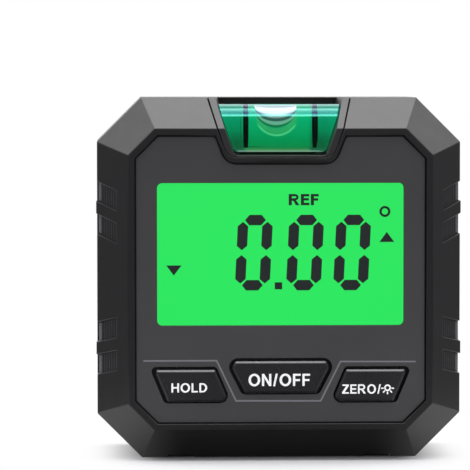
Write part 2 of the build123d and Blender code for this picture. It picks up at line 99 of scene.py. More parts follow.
def linear(red, green, blue):
    """Colour from 0 to 255 screen values to linear light."""
    def channel(value):
        v = value / 255
        return v / 12.92 if v <= 0.04045 else ((v + 0.055) / 1.055) ** 2.4
    return (channel(red), channel(green), channel(blue), 1.0)


class Value:
    """A socket that takes part in plain arithmetic, adding Math nodes as it goes."""

    def __init__(self, tree, socket):
        self.tree = tree
        self.socket = socket

    def math(self, operation, *values):
        node = self.tree.nodes.new("ShaderNodeMath")
        node.operation = operation
        for place, value in zip(node.inputs, values):
            feed(place, value)
        return Value(self.tree, node.outputs[0])

    def __add__(self, other):
        return self.math("ADD", self, other)

    __radd__ = __add__

    def __mul__(self, other):
        return self.math("MULTIPLY", self, other)

    __rmul__ = __mul__

    def __sub__(self, other):
        return self.math("SUBTRACT", self, other)

    def __rsub__(self, other):
        return self.math("SUBTRACT", other, self)

    def __truediv__(self, other):
        return self.math("DIVIDE", self, other)

    def __rtruediv__(self, other):
        return self.math("DIVIDE", other, self)

    def __gt__(self, other):
        return self.math("GREATER_THAN", self, other)

    def __lt__(self, other):
        return self.math("LESS_THAN", self, other)

    def __abs__(self):
        return self.math("ABSOLUTE", self)

    def root(self):
        return self.math("SQRT", self)

    def either(self, other):
        return self.math("MAXIMUM", self, other)


def feed(socket, value):
    """A link from a Value, or a plain number or colour, into a socket."""
    if isinstance(value, Value):
        value.tree.links.new(value.socket, socket)
    else:
        socket.default_value = value


class Shader:
    """A shader tree of a material or a world, built with short calls."""

    def __init__(self, owner):
        owner.use_nodes = True
        self.owner = owner
        self.tree = owner.node_tree
        self.output = next(n for n in self.tree.nodes if n.type.startswith("OUTPUT"))

    def node(self, kind, settings=None, out=0, **inputs):
        """Any node: its type, its settings, then values or links for its sockets."""
        node = self.tree.nodes.new(kind)
        for key, value in (settings or {}).items():
            if key == "stops":
                self.set_stops(node, value)
            else:
                setattr(node, key, value)
        for key, value in inputs.items():
            wanted = key.replace("_", " ")
            feed(next(s for s in node.inputs if s.name == wanted and s.enabled), value)
        return Value(self.tree, node.outputs[out])

    def set_stops(self, node, stops):
        ramp = node.color_ramp
        for index, (place, color) in enumerate(stops):
            if index < 2:
                stop = ramp.elements[index]
                stop.position = place
            else:
                stop = ramp.elements.new(place)
            stop.color = color

    def position(self):
        """Object coordinates, which are metres in the level's own frame."""
        return self.node("ShaderNodeTexCoord", out=3)

    def axis(self, number):
        """One coordinate in millimetres: 0 across, 1 back, 2 up."""
        return self.node("ShaderNodeSeparateXYZ", out=number, Vector=self.position()) / MM

    def noise(self, scale, detail=2.0, roughness=0.5):
        return self.node("ShaderNodeTexNoise", Vector=self.position(), Scale=scale,
                         Detail=detail, Roughness=roughness)

    def between(self, factor, low, high):
        """Colour between two colours by a factor."""
        node = self.tree.nodes.new("ShaderNodeMix")
        node.data_type = "RGBA"
        feed(node.inputs[0], factor)
        feed(node.inputs[6], low)
        feed(node.inputs[7], high)
        return Value(self.tree, node.outputs[2])

    def ease(self, value, start, end):
        """From 0 to 1, softly, as a value goes from start to end."""
        return self.node("ShaderNodeMapRange", {"interpolation_type": "SMOOTHSTEP"}, Value=value,
                         From_Min=start, From_Max=end)

    def along(self, value, start, end, stops):
        """Colour from a row of (value, colour) stops between start and end."""
        placed = [((v - start) / (end - start), color) for v, color in stops]
        return self.node("ShaderNodeValToRGB", {"stops": placed},
                         Fac=(value - start) / (end - start))

    def spread(self, factor, low, high):
        """Number from low to high as the factor goes from 0 to 1."""
        return factor * (high - low) + low

    def bump(self, height, strength, distance):
        return self.node("ShaderNodeBump", Height=height, Strength=strength, Distance=distance)

    def mixed(self, factor, first, second):
        """One shader or the other by a factor, into the output."""
        mix = self.tree.nodes.new("ShaderNodeMixShader")
        feed(mix.inputs[0], factor)
        feed(mix.inputs[1], first)
        feed(mix.inputs[2], second)
        self.tree.links.new(mix.outputs[0], self.output.inputs["Surface"])


class Finish(Shader):
    """A material with one main shader."""

    def __init__(self, name):
        super().__init__(bpy.data.materials.new(name))
        self.bsdf = self.tree.nodes["Principled BSDF"]

    def set(self, **inputs):
        for key, value in inputs.items():
            feed(self.bsdf.inputs[key.replace("_", " ")], value)
        return self.owner


def painted_edge_highlight(shader, color):
    """A keycap's colour, with a painted highlight: paler along its rounded upper edge, where the
    top light would shine on it.
    """
    facing = shader.node("ShaderNodeTexCoord", out=1)
    up = shader.node("ShaderNodeSeparateXYZ", out=2, Vector=facing)
    aside = abs(shader.node("ShaderNodeSeparateXYZ", out=0, Vector=facing))
    # painted highlight: the upward-facing upper edge is made paler, as the top light would make it
    brow = shader.ease(up - aside * 0.8, 0.2, 0.5) * (1 - shader.ease(up, 0.9, 0.99))
    return shader.between(brow, color, linear(142, 139, 145))


def painted_cup_shade(shader, color):
    """The vial cup's colour, with painted shade: darker on the wall behind the vial."""
    # painted shade: darker behind the vial, where shade falls in the cup
    deep = shader.ease(shader.axis(1), -11.0, -7.0) * (1 - shader.ease(shader.axis(2), 59.6, 59.9))
    return shader.between(deep, color, linear(6, 6, 6))


def grained_plastic(name, dark, light, grain, depth, rough, gloss=0.5, change=None):
    """Moulded plastic: slight shade drift and fine spark-eroded grain."""
    shader = Finish(name)
    drift = shader.noise(90.0, 3.0)
    speck = shader.noise(grain, 2.0, 0.7)
    color = shader.between(shader.spread(drift, 0.1, 0.9), dark, light)
    if change:
        color = change(shader, color)
    return shader.set(
        Base_Color=color,
        Roughness=shader.spread(shader.noise(400.0), rough - 0.06, rough + 0.06),
        Specular_IOR_Level=gloss,
        Normal=shader.bump(speck, 0.35, depth),
    )


def housing_plastic():
    return grained_plastic("housing_plastic", linear(23, 22, 24), linear(32, 31, 33),
                           9000.0, 0.02 * MM, 0.32, 0.75)


def panel_plastic():
    return grained_plastic("panel_plastic", linear(70, 70, 71), linear(76, 75, 77),
                           7000.0, 0.006 * MM, 0.5)


def holder_plastic():
    return grained_plastic("holder_plastic", linear(38, 36, 38), linear(46, 43, 46),
                           5000.0, 0.008 * MM, 0.4, 0.8, painted_cup_shade)


def key_plastic():
    return grained_plastic("key_plastic", linear(26, 25, 28), linear(39, 38, 41),
                           6500.0, 0.05 * MM, 0.28, 0.8, painted_edge_highlight)


def inner_plastic():
    return grained_plastic("inner_plastic", linear(196, 196, 190), linear(214, 214, 208),
                           4000.0, 0.01 * MM, 0.5)


def display_glow():
    """Backlit display: even green with a barely visible fall-off near its edges."""
    shader = Finish("display_glow")
    edge = shader.axis(0) / 22
    amount = edge * edge * 0.1 + shader.noise(120.0, 2.0) * 0.08
    color = shader.between(amount, linear(40, 238, 98), linear(36, 224, 92))
    return shader.set(Base_Color=(0.0, 0.02, 0.0, 1.0), Roughness=0.4, Specular_IOR_Level=0.0,
                      Emission_Color=color, Emission_Strength=1.0)


def clear_window():
    """Thin polished plate over the display."""
    shader = Finish("clear_window")
    wave = shader.noise(60.0, 1.0)
    return shader.set(Base_Color=(1.0, 1.0, 1.0, 1.0), Roughness=shader.spread(wave, 0.0, 0.03),
                      IOR=1.49, Transmission_Weight=1.0)


def flat_ink_or_painted_light(name, color, glow=0.0, gloss=0.5):
    """Screen-printed ink, also used for flat painted shade, painted highlights and painted glow:
    nearly even, with a faint unevenness.
    """
    shader = Finish(name)
    drift = shader.noise(900.0, 2.0)
    shade = shader.between(drift, color, tuple(c * 0.9 for c in color[:3]) + (1.0,))
    return shader.set(Base_Color=shade, Roughness=shader.spread(drift, 0.5, 0.62),
                      Specular_IOR_Level=gloss, Emission_Color=shade, Emission_Strength=glow)


def vial_acrylic():
    shader = Finish("vial_acrylic")
    wave = shader.noise(140.0, 2.0)
    return shader.set(Base_Color=(0.96, 1.0, 0.98, 1.0), Roughness=shader.spread(wave, 0.0, 0.02),
                      IOR=1.06, Transmission_Weight=1.0, Coat_Weight=0.4)


def vial_bevel():
    """Sloping head of the block, with painted light: the glints where the green gathers in pale
    lines are painted as a glow in bands by height.
    """
    shader = Finish("vial_bevel")
    up = shader.axis(2)
    # painted light lines and glints, in bands by height on the sloping head
    lines = shader.along(up, 56.8, 59.0, (
        (56.8, (0.0, 0.2, 0.16, 1.0)),
        (56.95, (0.06, 0.45, 0.4, 1.0)),
        (57.08, (0.12, 0.65, 0.6, 1.0)),
        (57.25, (0.0, 0.18, 0.24, 1.0)),
        (57.41, (0.0, 0.0, 0.12, 1.0)),
        (57.74, (0.04, 0.17, 0.24, 1.0)),
        (57.9, (0.16, 0.36, 0.42, 1.0)),
        (58.07, (0.26, 0.48, 0.56, 1.0)),
        (58.23, (0.0, 0.0, 0.08, 1.0)),
        (58.42, (0.0, 0.0, 0.0, 1.0)),
        (58.56, (0.15, 0.14, 0.25, 1.0)),
        (58.74, (0.35, 0.32, 0.46, 1.0)),
        (59.0, (0.28, 0.15, 0.3, 1.0)),
    ))
    wave = shader.noise(140.0, 2.0)
    return shader.set(Base_Color=(0.96, 1.0, 0.98, 1.0), Roughness=shader.spread(wave, 0.0, 0.02),
                      IOR=1.06, Transmission_Weight=1.0, Coat_Weight=0.4, Emission_Color=lines,
                      Emission_Strength=1.0)


def vial_green():
    """Dyed liquid as it shows through the block, as a painted glow: the dye's green with painted
    light above, in an arc and a bowl under the bubble and in a pale line at the foot, and painted
    shade near the foot and at the ends.
    """
    shader = Finish("vial_green")
    across = shader.axis(0)
    up = shader.axis(2)
    # painted shade: towards the ends the green is darker and greyer, most of all near the foot
    painted_shade_ends = shader.along(up, 51.0, 57.0, (
        (51.0, linear(112, 142, 134)),
        (51.07, linear(92, 126, 112)),
        (51.16, linear(28, 92, 62)),
        (51.7, linear(14, 86, 52)),
        (52.5, linear(6, 90, 51)),
        (53.3, linear(4, 104, 64)),
        (54.4, linear(1, 132, 84)),
        (55.9, linear(1, 146, 97)),
        (57.0, linear(8, 155, 114)),
    ))
    bright = shader.along(up, 51.0, 57.0, (
        (51.0, linear(122, 154, 134)),
        (51.06, linear(108, 158, 116)),
        (51.2, linear(66, 142, 80)),
        (51.45, linear(22, 130, 64)),
        (51.9, linear(8, 136, 73)),
        (52.6, linear(0, 143, 80)),
        (53.9, linear(0, 158, 96)),
        (55.9, linear(2, 174, 111)),
        (57.0, linear(8, 186, 134)),
    ))
    inside = 1 - shader.ease(abs(across), 5.0, 5.9)
    color = shader.between(inside, painted_shade_ends, bright)
    # painted light: a bright arc and a pale bowl under the bubble
    side = across + 0.1
    rise = up - 57.25
    reach = (side * side + rise * rise).root()
    arc = 1 - shader.ease(abs(reach - 3.6), 0.06, 0.24)
    below = shader.ease(57.4 - up, 1.6, 2.6)
    color = shader.between(arc * below * 0.8, color, linear(90, 222, 146))
    bowl = (1 - shader.ease(reach, 2.9, 3.9)) * shader.ease(reach, 1.6, 3.4) * 0.6
    color = shader.between(bowl, color, linear(70, 178, 104))
    drift = shader.noise(500.0, 2.0)
    color = shader.between(drift * 0.3, color, linear(0, 110, 66))
    # the whole green is a painted glow, not lit by the lamps
    return shader.set(Base_Color=(0.0, 0.04, 0.02, 1.0), Roughness=0.5, Specular_IOR_Level=0.0,
                      Emission_Color=color, Emission_Strength=1.0)


def vial_tint():
    """The liquid's own surface in the bore, nearly matched to the block."""
    shader = Finish("vial_tint")
    haze = shader.noise(100.0, 2.0)
    return shader.set(Base_Color=(0.9, 1.0, 0.94, 1.0), Roughness=shader.spread(haze, 0.0, 0.01),
                      IOR=1.01, Transmission_Weight=1.0)


def bubble_skin():
    """Liquid's surface round the bubble, as a painted glow: a white head of painted highlight,
    dark bows of painted shade and a pale green belly.
    """
    shader = Finish("bubble_skin")
    side = (shader.axis(0) - BUBBLE_MIDDLE) / 3.6
    bow = (1 - side * side).either(0.02).root()
    down = (58.5 - shader.axis(2)) / bow
    # painted highlight and painted shade in bands down the bubble's skin
    color = shader.along(down, 0.0, 3.6, (
        (0.0, linear(176, 192, 200)),
        (0.3, linear(180, 196, 203)),
        (0.48, linear(242, 248, 249)),
        (1.25, linear(242, 248, 249)),
        (1.5, linear(205, 220, 223)),
        (1.7, linear(150, 176, 178)),
        (1.9, linear(112, 143, 140)),
        (2.06, linear(48, 85, 78)),
        (2.42, linear(48, 88, 80)),
        (2.56, linear(102, 170, 146)),
        (3.0, linear(104, 172, 142)),
        (3.14, linear(20, 118, 75)),
        (3.6, linear(20, 118, 75)),
    ))
    wave = shader.noise(300.0, 1.0)
    return shader.set(Base_Color=(0.0, 0.02, 0.01, 1.0), Specular_IOR_Level=0.0,
                      Roughness=shader.spread(wave, 0.2, 0.4), Emission_Color=color,
                      Emission_Strength=1.0)


def metal(name, color, rough, scale):
    shader = Finish(name)
    streak = shader.noise(scale, 4.0)
    return shader.set(Base_Color=color, Metallic=1.0,
                      Roughness=shader.spread(streak, rough - 0.08, rough + 0.1),
                      Normal=shader.bump(streak, 0.15, 0.01 * MM))


def circuit_board():
    """Solder mask with faint copper tracks under it."""
    shader = Finish("circuit_board")
    tracks = shader.node("ShaderNodeTexWave", {"wave_type": "BANDS", "bands_direction": "X"},
                         Vector=shader.position(), Scale=180.0, Distortion=4.0)
    color = shader.between(tracks > 0.6, linear(16, 84, 42), linear(28, 110, 58))
    return shader.set(Base_Color=color, Roughness=0.3)


def cell_jacket():
    """Plain cell jacket: dark green with a light band at one end."""
    shader = Finish("cell_jacket")
    drift = shader.noise(300.0)
    plain = shader.between(drift, linear(36, 92, 50), linear(42, 100, 58))
    color = shader.between(shader.axis(0) > 12.0, plain, linear(196, 198, 190))
    return shader.set(Base_Color=color, Roughness=shader.spread(drift, 0.25, 0.35))


def rubber_strip():
    return grained_plastic("contact_rubber", linear(60, 60, 62), linear(120, 118, 112),
                           3000.0, 0.02 * MM, 0.7)


def chip_plastic():
    return grained_plastic("chip_plastic", linear(26, 26, 28), linear(34, 34, 36),
                           5000.0, 0.01 * MM, 0.45)


def led_epoxy():
    shader = Finish("led_epoxy")
    haze = shader.noise(500.0)
    return shader.set(Base_Color=linear(190, 240, 190), Roughness=shader.spread(haze, 0.2, 0.4))


def guide_glow():
    shader = Finish("light_guide")
    haze = shader.noise(700.0)
    color = shader.between(haze, linear(60, 220, 110), linear(80, 240, 130))
    return shader.set(Base_Color=color, Roughness=0.4, Emission_Color=color,
                      Emission_Strength=0.4)


FINISHES = {
    "housing_plastic": housing_plastic,
    "panel_plastic": panel_plastic,
    "holder_plastic": holder_plastic,
    "key_plastic": key_plastic,
    "inner_plastic": inner_plastic,
    "clear_window": clear_window,
    "display": display_glow,
    "light_guide": guide_glow,
    "contact_rubber": rubber_strip,
    "led": led_epoxy,
    "circuit_board": circuit_board,
    "chip_plastic": chip_plastic,
    "steel": lambda: metal("screw_steel", linear(150, 150, 152), 0.35, 2000.0),
    "vial_acrylic": vial_acrylic,
    "vial_liquid": vial_tint,
    "ring_print": lambda: flat_ink_or_painted_light("ring_print", linear(5, 30, 21), 0.0, 0.0),
    "magnet": lambda: metal("magnet_nickel", linear(190, 190, 192), 0.25, 1200.0),
    "cell_jacket": cell_jacket,
    "contact_metal": lambda: metal("contact_nickel", linear(176, 172, 160), 0.3, 1500.0),
}


# Meshes

def piece_from(name, bm, materials, body, turn_out=True):
    """Turn a bmesh into a finished piece that rides on a body."""
    mesh = bpy.data.meshes.new(name)
    if turn_out:
        bmesh.ops.recalc_face_normals(bm, faces=bm.faces)
    bm.to_mesh(mesh)
    bm.free()
    for material in materials:
        mesh.materials.append(material)
    piece = bpy.data.objects.new(name, mesh)
    bpy.context.scene.collection.objects.link(piece)
    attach(piece, body)
    return piece


def material_of(node):
    return nodes[node].data.materials[0]


def add_plate(bm, outline, y, thickness):
    """Thin print: an outline of (x, z) points, standing proud of y towards the viewer."""
    front = [bm.verts.new((x, y - thickness, z)) for x, z in outline]
    back = [bm.verts.new((x, y, z)) for x, z in outline]
    bm.faces.new(front)
    bm.faces.new(list(reversed(back)))
    count = len(outline)
    for i in range(count):
        j = (i + 1) % count
        bm.faces.new((front[i], back[i], back[j], front[j]))


def millimetres(points):
    return [(x * MM, z * MM) for x, z in points]


def evaluated_mesh(source):
    """The mesh of an object with its modifiers or curve fill worked out."""
    bpy.context.view_layer.update()
    graph = bpy.context.evaluated_depsgraph_get()
    return bpy.data.meshes.new_from_object(source.evaluated_get(graph), depsgraph=graph)


# Shells with softened edges

WALL_TURN = 0.049
JOINT = 0.15


def merged_form(node):
    """A CAD node's form as one closed mesh with whole flat faces."""
    bm = bmesh.new()
    bm.from_mesh(nodes[node].data)
    bmesh.ops.remove_doubles(bm, verts=bm.verts, dist=0.001 * MM)
    bmesh.ops.dissolve_limit(bm, angle_limit=radians(0.8), verts=bm.verts, edges=bm.edges)
    for face in bm.faces:
        narrow = face.calc_area() < face.calc_perimeter() * 0.35 * MM
        face.smooth = narrow and any(e.calc_face_angle(0) < radians(35) for e in face.edges)
    return bm


def outer_edge(edge):
    """Whether an edge is a sharp outward one."""
    return edge.calc_face_angle_signed(0) > radians(20)


def cap_edge(edge):
    """Whether an edge runs round a keycap's front."""
    return outer_edge(edge) and all(v.co.y < CAP_Y + 0.03 * MM for v in edge.verts)


def open_cup(bm):
    """Steeper walls in the vial's cup, a lower floor for a dark gap with near-black painted shade
    on it, and a tight rim joint.
    """
    for vertex in bm.verts:
        x, y, z = vertex.co / MM
        deep = y - FACE_Y / MM
        side = 1 if x > 0 else -1
        middle = 7.94 + 0.385 * (z - 50.35) - 0.095 * deep
        if z > 51.0 and abs(x) < middle:
            x += side * WALL_TURN * deep
            if z < 52.2:
                x -= side * 0.23 * min(1, abs(x) / 6)
                z -= 0.6
        elif deep < 0.05 and z < 54.5:
            x += side * min(1, (z - 50.35) / 1.2) * JOINT
            z -= (1 - min(1, (z - 50.35) / 1.2)) * JOINT
        vertex.co = Vector((x, y, z)) * MM
    for face in bm.faces:
        face.normal_update()
        middle = face.calc_center_bounds()
        # painted shade: the cup's floor takes the near-black finish of slot 1
        if face.normal.z > 0.5 and middle.z < 51 * MM:
            face.material_index = 1
        elif face.normal.y < -0.9 and middle.y > FACE_Y + 2 * MM:
            face.material_index = 2


def soften(bm, edges, radius, steps):
    made = bmesh.ops.bevel(bm, geom=edges, offset=radius, offset_type="OFFSET", segments=steps,
                           profile=0.5, affect="EDGES", clamp_overlap=True)
    for face in made["faces"]:
        face.smooth = face.calc_area() < face.calc_perimeter() * radius * 0.55


def softened_copy(node, radius, steps, chosen, change=None):
    bm = merged_form(node)
    if change:
        change(bm)
    soften(bm, [edge for edge in bm.edges if chosen(edge)], radius, steps)
    body = nodes[node]["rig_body"]
    piece = piece_from(node + "_soft", bm, [material_of(node)], body)
    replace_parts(piece, node)
    return piece


# Settings

class LevelSizes(bpy.types.PropertyGroup):
    """Sizes of the prints, marks and small forms."""
    figure_width: FloatProperty(name="Figure width", default=4.05 * MM, unit="LENGTH",
                                description="Width of a display figure between its bars' middles")
    figure_height: FloatProperty(name="Figure height", default=10.8 * MM, unit="LENGTH",
                                 description="Height of a figure between its bars' middles")
    stroke: FloatProperty(name="Stroke", description="Thickness of a figure's bars",
                          default=1.72 * MM, unit="LENGTH")
    ink: FloatProperty(name="Ink", description="Thickness of the printed marks",
                       default=0.02 * MM, unit="LENGTH")
    edge: FloatProperty(name="Edge", description="Rounding of the shells' edges",
                        default=0.12 * MM, unit="LENGTH")
    hatch_pitch: FloatProperty(name="Hatch pitch", default=0.4 * MM, unit="LENGTH",
                               description="Distance between the fine ribs of the grip pockets")
    hatch_radius: FloatProperty(name="Hatch radius", default=0.09 * MM, unit="LENGTH",
                                description="Roundness of the fine ribs of the grip pockets")
    bubble_length: FloatProperty(name="Bubble length", description="Length of the vial's bubble",
                                 default=6.9 * MM, unit="LENGTH")
    screw_seed: IntProperty(name="Screw turns", default=4,
                            description="Seed for how far each case screw is turned")


class LevelColours(bpy.types.PropertyGroup):
    """Colours that a user would change."""
    legend: FloatVectorProperty(name="Legend", description="Colour of the key legends",
                                default=(0.94, 0.94, 0.94), size=3, subtype="COLOR")
    figures: FloatVectorProperty(name="Figures", description="Colour of the display's figures",
                                 default=linear(28, 33, 34)[:3], size=3, subtype="COLOR")
    line: FloatVectorProperty(name="Line", description="Colour of the line round the keys",
                              default=linear(138, 135, 141)[:3], size=3, subtype="COLOR")


def opaque(color):
    return tuple(color) + (1.0,)


class LEVEL_OT_finishes(bpy.types.Operator):
    """Give every CAD node its finish"""
    bl_idname = "level.finishes"
    bl_label = "Finishes"

    def execute(self, context):
        slots = {s["node"]: s["material_slot"] for s in frame["record"]["subparts"]}
        made = {}
        for name, node in nodes.items():
            finish = slots[name]
            if finish not in made:
                made[finish] = FINISHES[finish]()
            node.data.materials.clear()
            node.data.materials.append(made[finish])
        return {"FINISHED"}


class LEVEL_OT_shells(bpy.types.Operator):
    """Round off the edges of the shells, the panel, the vial's holder and the keys"""
    bl_idname = "level.shells"
    bl_label = "Softened shells"

    def execute(self, context):
        edge = context.scene.level_sizes.edge
        for node in ("front_housing", "rear_housing", "battery_cover"):
            softened_copy(node, edge, 2, outer_edge)
        cup = softened_copy("vial_holder", edge * 0.6, 2, outer_edge, open_cup)
        # near-black painted shade for the gap under the vial block
        cup.data.materials.append(flat_ink_or_painted_light("cup_pad", linear(9, 9, 10), 0.0, 0.1))
        cup.data.materials.append(flat_ink_or_painted_light("cup_wall", linear(45, 41, 42), 0.0, 0.1))
        softened_copy("front_panel", edge * 0.6, 2, outer_edge)
        for node in ("hold_button", "on_off_button", "zero_button"):
            softened_copy(node, edge * 3.5, 3, cap_edge)
        return {"FINISHED"}


# Geometry Nodes

class NodeGroup:
    """A Geometry Nodes tree with named inputs, built with short calls."""

    def __init__(self, name):
        self.tree = bpy.data.node_groups.new(name, "GeometryNodeTree")
        self.tree.interface.new_socket("Geometry", in_out="INPUT",
                                       socket_type="NodeSocketGeometry")
        self.tree.interface.new_socket("Geometry", in_out="OUTPUT",
                                       socket_type="NodeSocketGeometry")
        self.start = None

    def input(self, name, kind):
        self.tree.interface.new_socket(name, in_out="INPUT", socket_type="NodeSocket" + kind)

    def given(self, name):
        """The value of a named input."""
        if self.start is None:
            self.start = self.tree.nodes.new("NodeGroupInput")
        return Value(self.tree, self.start.outputs[name])

    def node(self, kind, settings=None, out=0, **inputs):
        node = self.tree.nodes.new(kind)
        for key, value in (settings or {}).items():
            setattr(node, key, value)
        for key, value in inputs.items():
            wanted = key.replace("_", " ")
            feed(next(s for s in node.inputs if s.name == wanted and s.enabled), value)
        return Value(self.tree, node.outputs[out])

    def finish(self, geometry):
        """Real meshes with their material, out of the tree."""
        real = self.node("GeometryNodeRealizeInstances", Geometry=geometry)
        coated = self.node("GeometryNodeSetMaterial", Geometry=real,
                           Material=self.given("Material"))
        end = self.tree.nodes.new("NodeGroupOutput")
        self.tree.links.new(coated.socket, end.inputs["Geometry"])

    def grow(self, mesh, **values):
        """The tree's mesh for a host mesh and a set of input values."""
        host = bpy.data.objects.new("host", mesh)
        bpy.context.scene.collection.objects.link(host)
        modifier = host.modifiers.new("nodes", "NODES")
        modifier.node_group = self.tree
        sockets = {item.name: item.identifier for item in self.tree.interface.items_tree
                   if item.in_out == "INPUT"}
        for key, value in values.items():
            modifier[sockets[key.replace("_", " ")]] = value
        made = evaluated_mesh(host)
        bpy.data.objects.remove(host)
        return made


def fine_rib_row():
    """Row of fine upright ribs, each a thin rod half sunk in the pocket's floor."""
    group = NodeGroup("fine_rib_row")
    group.input("Count", "Int")
    group.input("Start", "Vector")
    group.input("Step", "Vector")
    group.input("Radius", "Float")
    group.input("Length", "Float")
    group.input("Material", "Material")
    row = group.node("GeometryNodeMeshLine", {"mode": "OFFSET"}, Count=group.given("Count"),
                     Start_Location=group.given("Start"), Offset=group.given("Step"))
    rod = group.node("GeometryNodeMeshCylinder", Vertices=8, Radius=group.given("Radius"),
                     Depth=group.given("Length"))
    placed = group.node("GeometryNodeInstanceOnPoints", Points=row, Instance=rod)
    group.finish(placed)
    return group


def scattered_screws():
    """A screw on each point of the host, turned about its own axis by chance."""
    group = NodeGroup("scattered_screws")
    group.input("Screw", "Object")
    group.input("Seed", "Int")
    group.input("Material", "Material")
    screw = group.node("GeometryNodeObjectInfo", out=4, Object=group.given("Screw"))
    turn = group.node("FunctionNodeRandomValue", {"data_type": "FLOAT"}, out=1, Min=0.0, Max=1.5,
                      Seed=group.given("Seed"))
    euler = group.node("ShaderNodeCombineXYZ", Y=turn)
    placed = group.node("GeometryNodeInstanceOnPoints", Points=group.given("Geometry"),
                        Instance=screw, Rotation=euler)
    group.finish(placed)
    return group


def joined(meshes):
    """Several meshes as one bmesh."""
    bm = bmesh.new()
    for mesh in meshes:
        bm.from_mesh(mesh)
        bpy.data.meshes.remove(mesh)
    return bm


# Grip pockets

BELT_X = 30.25
SLOPE_RUN = 5.1
SLOPE_DEPTH = 7.0
POCKET_DEPTH = 0.45
GRIP_OFFSET = 11.7
GRIP_BANDS = ((-4.35, -1.05), (1.05, 4.35))
GRIP_LEANS = (17.0, 24.0)


class LEVEL_OT_grips(bpy.types.Operator):
    """Cover the floors of the grip pockets with fine upright ribs"""
    bl_idname = "level.grips"
    bl_label = "Grip ribs"

    def execute(self, context):
        sizes = context.scene.level_sizes
        pitch = sizes.hatch_pitch / MM
        group = fine_rib_row()
        # the ribs' plastic is paler than the housing's: painted sheen for the light the fine hatch
        # catches
        material = grained_plastic("grip_plastic", linear(62, 61, 63), linear(72, 71, 73),
                                   9000.0, 0.02 * MM, 0.36, 0.75)
        # pale strips at the pockets' outer edges: painted highlight
        bright = flat_ink_or_painted_light("grip_edge", linear(108, 107, 110))
        length = sqrt(SLOPE_RUN ** 2 + SLOPE_DEPTH ** 2)
        out_x, out_y = SLOPE_DEPTH / length, -SLOPE_RUN / length
        meshes = []
        edges = []
        for side in (-1, 1):
            for half, lean in zip((-1, 1), GRIP_LEANS):
                lift = tan(radians(lean))
                for low, high in GRIP_BANDS:
                    middle = HEIGHT / MM / 2 + half * GRIP_OFFSET - half * (low + high) / 2
                    run = 0.45
                    deep = POCKET_DEPTH + 0.04
                    x = BELT_X - run - deep * out_x
                    y = FACE_Y / MM + SLOPE_DEPTH * (1 - run / SLOPE_RUN) - deep * out_y
                    z = middle - half * lift * run
                    start = (side * x * MM, y * MM, z * MM)
                    step = (-side * pitch * MM, -pitch * SLOPE_DEPTH / SLOPE_RUN * MM,
                            -half * lift * pitch * MM)
                    meshes.append(group.grow(
                        bpy.data.meshes.new("row"), Count=7, Start=start, Step=step,
                        Radius=sizes.hatch_radius, Length=(high - low - 0.3) * MM,
                        Material=material))
                    # painted highlight strip along each pocket's outer edge
                    brow = (side * 29.7 * MM, -7.75 * MM, middle * MM)
                    edges.append(group.grow(
                        bpy.data.meshes.new("row"), Count=2, Start=brow,
                        Step=(-side * 0.17 * MM, -0.25 * MM, 0.0),
                        Radius=0.25 * MM, Length=(high - low - 0.3) * MM, Material=bright))
        piece_from("grip_hatch", joined(meshes), [material], "housing")
        piece_from("grip_edge", joined(edges), [bright], "housing")
        return {"FINISHED"}


# Screws

SCREW_X = 23.55
SCREW_Z = (8.5, 51.5)
SCREW_SEAT = 10.0
SCREW_HEAD = (2.0, 1.6)
SCREW_SHANK = (1.1, 12.5)
SCREW_CROSS = (0.34, 1.15, 0.8)


